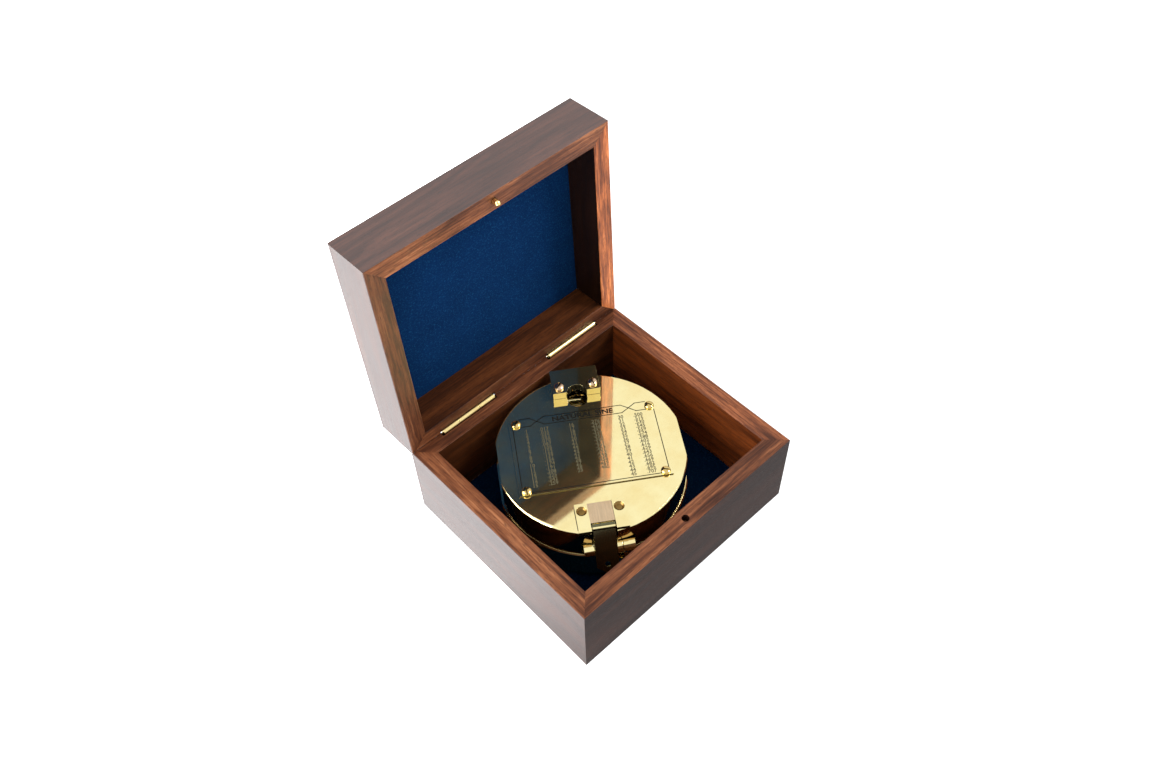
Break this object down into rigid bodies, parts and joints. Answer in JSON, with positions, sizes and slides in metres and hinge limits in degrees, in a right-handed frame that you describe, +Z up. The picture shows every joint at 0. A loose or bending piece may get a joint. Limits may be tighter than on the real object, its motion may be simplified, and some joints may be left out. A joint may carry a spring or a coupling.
{
  "type": "boxed pocket transit compass",
  "caption": "Brass pocket transit compass with hinged lid, sights and levels, lying in an open felt-lined hinged hardwood box.",
  "frame": {"origin": "centre of the box's flat underside, which rests on a table", "axes": "+X along the box front from left to right, +Y from the front to the hinged back, +Z up"},
  "size_m": [0.11, 0.1217, 0.1353],
  "materials": {
    "box_wood": "dark rosewood, clear gloss lacquer outside, thinner on the rims and inside",
    "felt": "deep blue short-nap felt",
    "hinge_brass": "bright brass",
    "compass_brass": "mirror-polished lacquered brass",
    "dial_silvered": "silvered matt dial",
    "clear_glass": "clear flat glass",
    "mirror_glass": "silvered glass mirror",
    "needle_steel": "blued and polished steel",
    "level_glass": "clear vial with yellow-green spirit"
  },
  "bodies": {
    "box": {"base_front_wall": "box_wood", "base_back_wall": "box_wood", "base_left_wall": "box_wood", "base_right_wall": "box_wood", "base_floor_panel": "box_wood", "base_felt_lining": "felt", "hinge_left_base_leaf": "hinge_brass", "hinge_left_pin": "hinge_brass", "hinge_right_base_leaf": "hinge_brass", "hinge_right_pin": "hinge_brass"},
    "box_lid": {"lid_front_wall": "box_wood", "lid_back_wall": "box_wood", "lid_left_wall": "box_wood", "lid_right_wall": "box_wood", "lid_top_panel": "box_wood", "lid_felt_lining": "felt", "lid_catch_pin": "hinge_brass", "hinge_left_lid_leaf": "hinge_brass", "hinge_right_lid_leaf": "hinge_brass"},
    "instrument": {"case_body": "compass_brass", "case_hinge_knuckle": "compass_brass", "compass_hinge_pin": "compass_brass", "dial_base_plate": "dial_silvered", "dial_ring": "dial_silvered", "cover_glass": "clear_glass", "glass_ring": "compass_brass", "round_level_cup": "compass_brass", "round_level_glass": "level_glass", "sight_arm_lugs": "compass_brass", "sight_arm_pin": "compass_brass"},
    "compass_lid": {"compass_lid_shell": "compass_brass", "compass_mirror": "mirror_glass", "lid_hinge_block": "compass_brass", "block_screw_left": "compass_brass", "block_screw_right": "compass_brass", "sine_table_plate": "compass_brass", "plate_screw_1": "compass_brass", "plate_screw_2": "compass_brass", "plate_screw_3": "compass_brass", "plate_screw_4": "compass_brass", "sight_bracket": "compass_brass", "bracket_rivet_left": "compass_brass", "bracket_rivet_right": "compass_brass", "peep_flap_pin": "compass_brass"},
    "peep_flap": {"peep_flap": "compass_brass"},
    "sight_arm": {"sight_arm": "compass_brass", "sight_arm_tip": "compass_brass"},
    "needle": {"needle": "needle_steel", "needle_cap": "compass_brass"},
    "clinometer": {"clinometer_arm": "compass_brass", "clinometer_shaft": "compass_brass", "clinometer_lever": "compass_brass", "tube_level_holder": "compass_brass", "tube_level_vial": "level_glass", "pivot_post": "needle_steel"},
    "needle_lifter": {"lifter_lever": "compass_brass", "lifter_pin": "compass_brass"}
  },
  "joints": [
    {"name": "box_lid", "type": "hinge", "parent": "box", "child": "box_lid", "pos_m": [0, 0.04805, 0.03805], "axis": [-1, 0, 0], "range_deg": [-92.3, 0]},
    {"name": "instrument_lift", "type": "slide", "parent": "box", "child": "instrument", "axis": [0, -0.1483, 0.9889], "range_m": [0, 0.15]},
    {"name": "compass_lid", "type": "hinge", "parent": "instrument", "child": "compass_lid", "pos_m": [0.01699, 0.03401, 0.02075], "axis": [-0.832, 0.5548, 0], "range_deg": [0, 120]},
    {"name": "peep_flap", "type": "hinge", "parent": "compass_lid", "child": "peep_flap", "pos_m": [-0.02372, -0.02659, 0.03655], "axis": [-0.832, 0.5548, 0], "range_deg": [0, 105]},
    {"name": "sight_arm", "type": "hinge", "parent": "instrument", "child": "sight_arm", "pos_m": [-0.02365, -0.02927, 0.0254], "axis": [0.832, -0.5548, 0], "range_deg": [0, 6]},
    {"name": "needle_spin", "type": "hinge", "parent": "instrument", "child": "needle", "pos_m": [-0.00275, 0.0027, 0.016], "axis": [0, 0, 1], "continuous": true},
    {"name": "clinometer_swing", "type": "hinge", "parent": "instrument", "child": "clinometer", "pos_m": [-0.00275, 0.0027, 0.0105], "axis": [0, 0, 1], "range_deg": [-60, 60]},
    {"name": "needle_lifter", "type": "hinge", "parent": "instrument", "child": "needle_lifter", "pos_m": [0.01686, 0.00662, 0.0116], "axis": [0.196, -0.9806, 0], "range_deg": [0, 2.1]}
  ],
  "couplings": [
    {"joint": "compass_lid", "follows": "instrument_lift", "rad_per_m": 13.96},
    {"joint": "peep_flap", "follows": "instrument_lift", "rad_per_m": 12.21},
    {"joint": "needle_lifter", "follows": "instrument_lift", "rad_per_m": 0.244}
  ]
}
